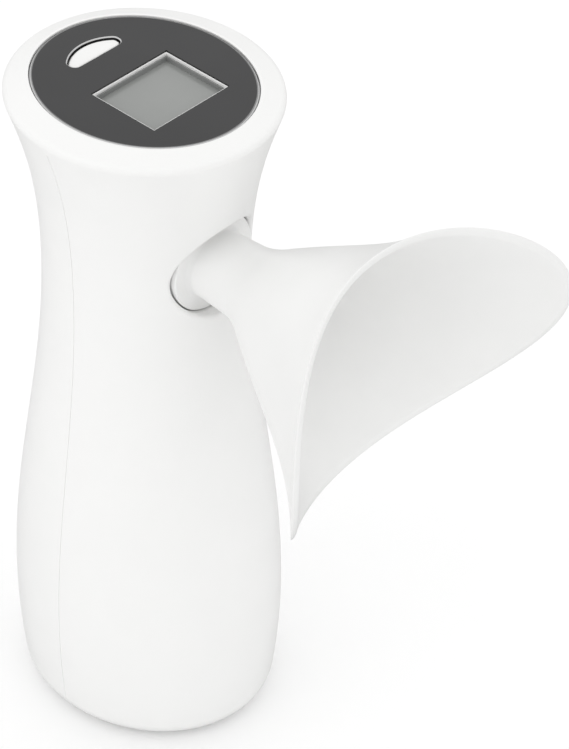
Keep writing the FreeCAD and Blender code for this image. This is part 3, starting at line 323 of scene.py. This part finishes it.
swirler_polycarbonate = moulded_plastic("blue polycarbonate", "#A9BBCB", "#AFC0CF", 0.25, 1.58)
rotor_polystyrene = moulded_plastic("black polystyrene", "#161616", "#1B1B1B", 0.35, 1.59)
chip_epoxy = moulded_plastic("epoxy chip package", "#202022", "#262628", 0.6, 1.55)
strip_rubber = moulded_plastic("layered contact rubber", "#6A6A70", "#8A8A90", 0.7, 1.41, grain=STRIP_GRAIN)
lead_vinyl = moulded_plastic("red vinyl insulation", "#A3211C", "#AC2520", 0.4, 1.54)
ribbon_polyimide = moulded_plastic("polyimide film", "#B98A3E", "#C29245", 0.25, 1.6)
cell_jacket = moulded_plastic("printed cell jacket", "#55595D", "#5C6064", 0.3, 1.5)
zinc_steel = plated_steel("zinc plated steel", "#BFC1C3", "#C8CACC", 0.35)
nickel_steel = plated_steel("nickel plated steel", "#C9C6C0", "#D2CFC9", 0.25)
turned_brass = plated_steel("turned brass", "#D2B266", "#DABB70", 0.25)
panel_acrylic = tinted_acrylic()
lcd_cell = display_glass("liquid crystal glass", "#909290", "#949694")
lcd_liner = display_glass("grey display liner", "#868786", "#8A8B8A")
board_mask = solder_masked_board()

FINISHES = {
    "front_shell": shell_abs,
    "rear_shell": shell_abs,
    "battery_door": shell_abs,
    "base_pad": foot_silicone,
    "case_screws": zinc_steel,
    "board_screws": zinc_steel,
    "sensor_screws": zinc_steel,
    "display_panel": panel_acrylic,
    "display_carrier": frame_abs,
    "lcd_bezel": lcd_liner,
    "lcd_glass": lcd_cell,
    "zebra_strips": strip_rubber,
    "main_board": board_mask,
    "sensor_board": board_mask,
    "board_chips": chip_epoxy,
    "tact_switch": chip_epoxy,
    "switch_plunger": black_abs,
    "power_button": key_abs,
    "mouth_cup": cup_polypropylene,
    "neck_o_ring": seal_silicone,
    "swivel_collar": collar_acetal,
    "retaining_ring": nickel_steel,
    "port_socket": tube_polycarbonate,
    "flow_tube": tube_polycarbonate,
    "inlet_swirler": swirler_polycarbonate,
    "outlet_swirler": swirler_polycarbonate,
    "rotor_bearings": turned_brass,
    "turbine_rotor": rotor_polystyrene,
    "rotor_shaft": nickel_steel,
    "ir_sensor": black_abs,
    "sensor_ribbon": ribbon_polyimide,
    "battery_holder": black_abs,
    "battery_cells": cell_jacket,
    "battery_contacts": nickel_steel,
    "battery_springs": nickel_steel,
    "battery_leads": lead_vinyl,
}


def dress(piece, material):
    piece.data.materials.clear()
    piece.data.materials.append(material)


for node_name, finish in FINISHES.items():
    dress(nodes[node_name], finish)


def tree_with_sizes(name, sizes):
    """An empty geometry tree with a named input for each size, and the identifiers of those inputs."""
    tree = bpy.data.node_groups.new(name, "GeometryNodeTree")
    tree.interface.new_socket("Geometry", in_out="OUTPUT", socket_type="NodeSocketGeometry")
    keys = {}
    for size in sizes:
        keys[size] = tree.interface.new_socket(size, in_out="INPUT", socket_type="NodeSocketFloat").identifier
    return tree, keys, add(tree, "NodeGroupInput").outputs


def mesh_from_tree(tree, keys, sizes):
    """Runs a geometry tree with these sizes on a throwaway object and returns the plain mesh."""
    holder = bpy.data.objects.new(tree.name, bpy.data.meshes.new(tree.name))
    bpy.context.scene.collection.objects.link(holder)
    modifier = holder.modifiers.new(tree.name, "NODES")
    modifier.node_group = tree
    for size, value in sizes.items():
        modifier[keys[size]] = value
    made = bpy.data.meshes.new_from_object(holder.evaluated_get(bpy.context.evaluated_depsgraph_get()))
    holder.modifiers.clear()
    bpy.data.objects.remove(holder)
    return made


def close_tree(tree, geometry, material):
    real = add(tree, "GeometryNodeRealizeInstances", {"Geometry": geometry})
    finished = add(tree, "GeometryNodeSetMaterial", {"Geometry": real.outputs[0], "Material": material})
    add(tree, "NodeGroupOutput", {"Geometry": finished.outputs[0]})


def cup_bowl(material):
    """The funnel as one wall: a sheet that runs out along the outside, over the lip and back in.

    Across the sheet is the way round the port's axis. Along it, share goes from the neck to the rim
    and back, and inward goes from the outer to the inner side over the lip, which bulges outward
    along the wall's own slope.
    """
    tree, keys, size = tree_with_sizes("cup bowl", CUP_SIZES)
    sheet = add(tree, "GeometryNodeMeshGrid", {"Size X": 1.0, "Size Y": 1.0, "Vertices X": CUP_STEPS_ROUND + 1,
                                               "Vertices Y": CUP_STEPS_ALONG + 1})
    flat = add(tree, "ShaderNodeSeparateXYZ", {0: add(tree, "GeometryNodeInputPosition").outputs[0]}).outputs
    lip_half = LIP_STEPS / 2 / CUP_STEPS_ALONG

    angle = add(tree, "ShaderNodeMath", {0: flat["X"], 1: 2 * math.pi}, operation="MULTIPLY").outputs[0]
    twice = add(tree, "ShaderNodeMath", {0: angle, 1: 2.0}, operation="MULTIPLY").outputs[0]
    cosine = add(tree, "ShaderNodeMath", {0: angle}, operation="COSINE").outputs[0]
    sine = add(tree, "ShaderNodeMath", {0: angle}, operation="SINE").outputs[0]
    saddle = add(tree, "ShaderNodeMath", {0: twice}, operation="COSINE").outputs[0]

    off_lip = add(tree, "ShaderNodeMath", {0: flat["Y"]}, operation="ABSOLUTE").outputs[0]
    share = add(tree, "ShaderNodeMapRange", {"Value": off_lip, "From Min": 0.5, "From Max": lip_half}).outputs[0]
    over = add(tree, "ShaderNodeMapRange", {"Value": flat["Y"], "From Min": -lip_half, "From Max": lip_half,
                                            "To Max": math.pi}).outputs[0]
    over_cosine = add(tree, "ShaderNodeMath", {0: over}, operation="COSINE").outputs[0]
    over_sine = add(tree, "ShaderNodeMath", {0: over}, operation="SINE").outputs[0]
    inward = add(tree, "ShaderNodeMapRange", {"Value": over_cosine, "From Min": 1.0, "From Max": -1.0}).outputs[0]
    bulge = add(tree, "ShaderNodeMath", {0: over_sine, 1: size["Lip"]}, operation="MULTIPLY").outputs[0]

    square = add(tree, "ShaderNodeMath", {0: share, 1: share}, operation="MULTIPLY").outputs[0]
    curl = add(tree, "ShaderNodeMath", {0: square, 1: size["Flare"], 2: size["Draw"]},
               operation="MULTIPLY_ADD").outputs[0]
    slope = add(tree, "ShaderNodeMath", {0: curl, 1: share, 2: size["Opening"]},
                operation="MULTIPLY_ADD").outputs[0]
    spread = add(tree, "ShaderNodeMath", {0: slope, 1: share}, operation="MULTIPLY").outputs[0]

    near_neck = add(tree, "ShaderNodeMapRange", {"Value": share, "From Min": size["Blend"],
                                                 "From Max": 0.0}).outputs[0]
    near_neck = add(tree, "ShaderNodeMath", {0: near_neck, 1: 2.0}, operation="POWER").outputs[0]
    radius = add(tree, "ShaderNodeMapRange", {"Value": inward, "To Min": size["Neck radius"],
                                              "To Max": size["Bore"]}).outputs[0]
    radius = add(tree, "ShaderNodeMath", {0: near_neck, 1: size["Swell"], 2: radius},
                 operation="MULTIPLY_ADD").outputs[0]
    thin = add(tree, "ShaderNodeMath", {0: inward, 1: size["Wall"]}, operation="MULTIPLY").outputs[0]
    half_width = add(tree, "ShaderNodeMath", {0: size["Half width"], 1: thin}, operation="SUBTRACT").outputs[0]
    half_height = add(tree, "ShaderNodeMath", {0: size["Half height"], 1: thin}, operation="SUBTRACT").outputs[0]

    neck_x = add(tree, "ShaderNodeMath", {0: radius, 1: cosine}, operation="MULTIPLY").outputs[0]
    neck_z = add(tree, "ShaderNodeMath", {0: radius, 1: sine}, operation="MULTIPLY").outputs[0]
    rim_x = add(tree, "ShaderNodeMath", {0: half_width, 1: cosine}, operation="MULTIPLY").outputs[0]
    rim_z = add(tree, "ShaderNodeMath", {0: half_height, 1: sine, 2: size["Shift"]},
                operation="MULTIPLY_ADD").outputs[0]
    rim_y = add(tree, "ShaderNodeMath", {0: saddle, 1: size["Saddle"], 2: size["Reach"]},
                operation="MULTIPLY_ADD").outputs[0]
    rim_y = add(tree, "ShaderNodeMath", {0: sine, 1: size["Lean"], 2: rim_y}, operation="MULTIPLY_ADD").outputs[0]
    neck = add(tree, "ShaderNodeCombineXYZ", {"X": neck_x, "Y": size["Neck end"], "Z": neck_z}).outputs[0]
    rim = add(tree, "ShaderNodeCombineXYZ", {"X": rim_x, "Y": rim_y, "Z": rim_z}).outputs[0]
    way = add(tree, "ShaderNodeCombineXYZ", {"X": spread, "Y": share, "Z": spread}).outputs[0]
    wall = add(tree, "ShaderNodeMix", {"Factor": way, "A": neck, "B": rim}, data_type="VECTOR",
               factor_mode="NON_UNIFORM", clamp_factor=False).outputs["Result"]

    rim_slope = add(tree, "ShaderNodeMath", {0: size["Draw"], 1: 2.0, 2: size["Opening"]},
                    operation="MULTIPLY_ADD").outputs[0]
    rim_slope = add(tree, "ShaderNodeMath", {0: size["Flare"], 1: 4.0, 2: rim_slope},
                    operation="MULTIPLY_ADD").outputs[0]
    stretch = add(tree, "ShaderNodeCombineXYZ", {"X": rim_slope, "Y": 1.0, "Z": rim_slope}).outputs[0]
    outward = add(tree, "ShaderNodeVectorMath", {0: rim, 1: neck}, operation="SUBTRACT").outputs[0]
    outward = add(tree, "ShaderNodeVectorMath", {0: outward, 1: stretch}, operation="MULTIPLY").outputs[0]
    outward = add(tree, "ShaderNodeVectorMath", {0: outward}, operation="NORMALIZE").outputs[0]
    lip = add(tree, "ShaderNodeVectorMath", {0: outward, "Scale": bulge}, operation="SCALE").outputs[0]
    skin = add(tree, "ShaderNodeVectorMath", {0: wall, 1: lip}, operation="ADD").outputs[0]
    place = add(tree, "ShaderNodeVectorMath", {0: skin, 1: (1.0, -1.0, 1.0)}, operation="MULTIPLY").outputs[0]
    bent = add(tree, "GeometryNodeSetPosition", {"Geometry": sheet.outputs["Mesh"], "Position": place})
    closed = add(tree, "GeometryNodeMergeByDistance", {"Geometry": bent.outputs[0], "Distance": HAIR / 10})
    close_tree(tree, closed.outputs[0], material)
    return mesh_from_tree(tree, keys, CUP_SIZES)


def neck_profile():
    """The neck's section as radius and distance along the port: bore, spigot, flange, tapered neck."""
    disc_back = COLLAR_FACE - FLANGE_DISC
    slope = (NECK_RADIUS - SPIGOT_RADIUS) / (NECK_END - COLLAR_FACE)
    steps = [i / PROFILE_STEPS for i in range(PROFILE_STEPS + 1)]

    def swell(ahead):
        return NECK_SWELL * max(0.0, 1 - ahead / NECK_BLEND) ** 2

    bore = [(NECK_BORE + swell(NECK_BLEND * s), NECK_END - NECK_BLEND * s) for s in steps]
    spigot = [(NECK_BORE, SPIGOT_END), (SPIGOT_RADIUS - SPIGOT_LEAD / 2, SPIGOT_END),
              (SPIGOT_RADIUS, SPIGOT_END + SPIGOT_LEAD), (SPIGOT_RADIUS, SEAL_PLACE - SEAL_HALF_WIDTH),
              (SPIGOT_RADIUS - SEAL_DEPTH, SEAL_PLACE - SEAL_HALF_WIDTH),
              (SPIGOT_RADIUS - SEAL_DEPTH, SEAL_PLACE + SEAL_HALF_WIDTH),
              (SPIGOT_RADIUS, SEAL_PLACE + SEAL_HALF_WIDTH), (SPIGOT_RADIUS, disc_back)]
    edge = [(COLLAR_RADIUS - FLANGE_BEVEL * (1 - math.cos(math.pi / 2 * s)),
             COLLAR_FACE - FLANGE_BEVEL * (1 - math.sin(math.pi / 2 * s))) for s in steps]
    root = [(SPIGOT_RADIUS + NECK_ROOT_ROUND * (1 - math.sin(math.pi / 2 * s)),
             COLLAR_FACE + NECK_ROOT_ROUND * (1 - math.cos(math.pi / 2 * s))) for s in steps]
    taper = [(NECK_RADIUS - slope * NECK_BLEND * (1 - s) + swell(NECK_BLEND * (1 - s)),
              NECK_END - NECK_BLEND * (1 - s)) for s in steps]
    return bore + spigot + [(COLLAR_RADIUS, disc_back)] + edge + root + taper


def mouth_cup():
    """Neck and funnel as one closed skin, turned a little on the port as it stands in the photo."""
    bowl = cup_bowl(cup_polypropylene)
    skin = bmesh.new()
    skin.from_mesh(bowl)
    rings = []
    for radius, along in neck_profile():
        angles = [2 * math.pi * (i / CUP_STEPS_ROUND - 0.5) for i in range(CUP_STEPS_ROUND)]
        rings.append([skin.verts.new((radius * math.cos(a), -along, radius * math.sin(a))) for a in angles])
    for low, high in zip(rings, rings[1:]):
        for i in range(CUP_STEPS_ROUND):
            skin.faces.new((low[i], low[i - 1], high[i - 1], high[i]))
    bmesh.ops.remove_doubles(skin, verts=skin.verts, dist=HAIR / 4)
    bmesh.ops.recalc_face_normals(skin, faces=skin.faces)
    skin.to_mesh(bowl)
    skin.free()
    turn = Matrix.Rotation(math.radians(CUP_TURN), 4, "Y")
    bowl.transform(Matrix.Translation((0, 0, PORT_Z)) @ turn)
    bowl.name = "mouth_cup.moulding"
    bowl.shade_smooth()
    bowl.set_sharp_from_angle(angle=math.radians(CREASE))
    cup = bpy.data.objects.new("mouth_cup.moulding", bowl)
    bpy.context.scene.collection.objects.link(cup)
    dress(cup, cup_polypropylene)
    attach(cup, nodes["mouth_cup"]["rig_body"])
    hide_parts("mouth_cup")


def contact_springs():
    """Two coils of round wire, each behind one cell's flat end, at opposite ends of the holder."""
    tree, keys, size = tree_with_sizes("contact springs", SPRING_SIZES)
    low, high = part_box("battery_springs")
    middle = (low.z + high.z) / 2
    lift = (high.z - low.z) / 2 - SPRING_SIZES["Wire"]
    coil = add(tree, "GeometryNodeCurveSpiral", {"Resolution": SPRING_STEPS, "Rotations": size["Turns"],
                                                 "Start Radius": size["Coil radius"],
                                                 "End Radius": size["Coil radius"], "Height": size["Length"]})
    wire = add(tree, "GeometryNodeCurvePrimitiveCircle", {"Resolution": WIRE_SIDES, "Radius": size["Wire"]})
    body = add(tree, "GeometryNodeCurveToMesh", {"Curve": coil.outputs[0], "Profile Curve": wire.outputs[0],
                                                 "Fill Caps": True})
    smooth = add(tree, "GeometryNodeSetShadeSmooth", {"Geometry": body.outputs[0]})
    ends = add(tree, "GeometryNodeMeshLine", {"Count": 2, "Start Location": (CELL_X, CELL_Y, middle - lift),
                                              "Offset": (-2 * CELL_X, 0.0, 2 * lift)})
    index = add(tree, "GeometryNodeInputIndex")
    flip = add(tree, "ShaderNodeMath", {0: index.outputs[0], 1: math.pi}, operation="MULTIPLY")
    turn = add(tree, "ShaderNodeCombineXYZ", {"Y": flip.outputs[0]})
    both = add(tree, "GeometryNodeInstanceOnPoints", {"Points": ends.outputs[0], "Instance": smooth.outputs[0],
                                                      "Rotation": turn.outputs[0]})
    close_tree(tree, both.outputs[0], nickel_steel)
    springs = bpy.data.objects.new("battery_springs.wire", mesh_from_tree(tree, keys, SPRING_SIZES))
    bpy.context.scene.collection.objects.link(springs)
    dress(springs, nickel_steel)
    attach(springs, nodes["battery_springs"]["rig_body"])
    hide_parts("battery_springs")


def studio():
    """A wide white table in an evenly white room."""
    table = bpy.data.meshes.new("table")
    corners = [(x * TABLE_HALF, y * TABLE_HALF, 0) for x, y in ((-1, -1), (1, -1), (1, 1), (-1, 1))]
    table.from_pydata(corners, [], [(0, 1, 2, 3)])
    floor = bpy.data.objects.new("table", table)
    bpy.context.scene.collection.objects.link(floor)
    dress(floor, studio_white())

    world = bpy.data.worlds.new("studio room")
    bpy.context.scene.world = world
    world.use_nodes = True
    tree = world.node_tree
    tree.nodes.clear()
    path = add(tree, "ShaderNodeLightPath").outputs
    way = add(tree, "ShaderNodeTexCoord").outputs["Generated"]
    height = add(tree, "ShaderNodeSeparateXYZ", {0: way}).outputs["Z"]
    mirrored = add(tree, "ShaderNodeMapRange", {"Value": height, "From Min": WALL_FOOT, "From Max": WALL_TOP,
                                                "To Min": REFLECTED_WALL, "To Max": 1.0}).outputs[0]
    strength = add(tree, "ShaderNodeMix", {"Factor": path["Is Glossy Ray"], "A": ROOM_LEVEL,
                                           "B": mirrored}).outputs[0]
    seen = add(tree, "ShaderNodeMath", {0: path["Is Camera Ray"], 1: path["Is Transmission Ray"]},
               operation="MAXIMUM").outputs[0]
    strength = add(tree, "ShaderNodeMix", {"Factor": seen, "A": strength, "B": 1.0}).outputs[0]
    white = add(tree, "ShaderNodeBackground", {"Color": (1, 1, 1, 1), "Strength": strength})
    add(tree, "ShaderNodeOutputWorld", {"Surface": white.outputs[0]})


def softbox():
    """A square lamp at the side that faces the object."""
    light = bpy.data.lights.new("side softbox", "AREA")
    light.size = SOFTBOX_SIZE
    light.energy = SOFTBOX_POWER
    holder = bpy.data.objects.new("side softbox", light)
    holder.location = SOFTBOX_PLACE
    aim = Vector((0, 0, AIM_HEIGHT)) - Vector(SOFTBOX_PLACE)
    holder.rotation_euler = aim.to_track_quat("-Z", "Y").to_euler()
    bpy.context.scene.collection.objects.link(holder)


def camera():
    """The solved camera: right and up are its axes before the roll, across and upward after it."""
    azimuth, elevation, roll = (math.radians(a) for a in (CAMERA_AZIMUTH, CAMERA_ELEVATION, CAMERA_ROLL))
    back = Vector((math.sin(azimuth) * math.cos(elevation), -math.cos(azimuth) * math.cos(elevation),
                   math.sin(elevation)))
    right = Vector((math.cos(azimuth), math.sin(azimuth), 0))
    up = back.cross(right)
    middle = Vector((0, 0, (cad_box[0].z + cad_box[1].z) / 2))
    target = middle + right * CAMERA_ASIDE + Vector((0, 0, CAMERA_LIFT))
    across = right * math.cos(roll) + up * math.sin(roll)
    upward = up * math.cos(roll) - right * math.sin(roll)
    lens = bpy.data.cameras.new("camera")
    lens.sensor_fit = "VERTICAL"
    lens.sensor_height = SENSOR
    lens.lens = SENSOR * FOCAL_PIXELS / FRAME_HEIGHT
    lens.clip_start = CLIP_START
    eye = bpy.data.objects.new("camera", lens)
    turn = Matrix((across, upward, back)).transposed().to_4x4()
    eye.matrix_world = Matrix.Translation(target + back * CAMERA_DISTANCE) @ turn
    bpy.context.scene.collection.objects.link(eye)
    bpy.context.scene.camera = eye


mouth_cup()
contact_springs()
studio()
softbox()
camera()
bpy.context.scene.view_settings.view_transform = "Standard"
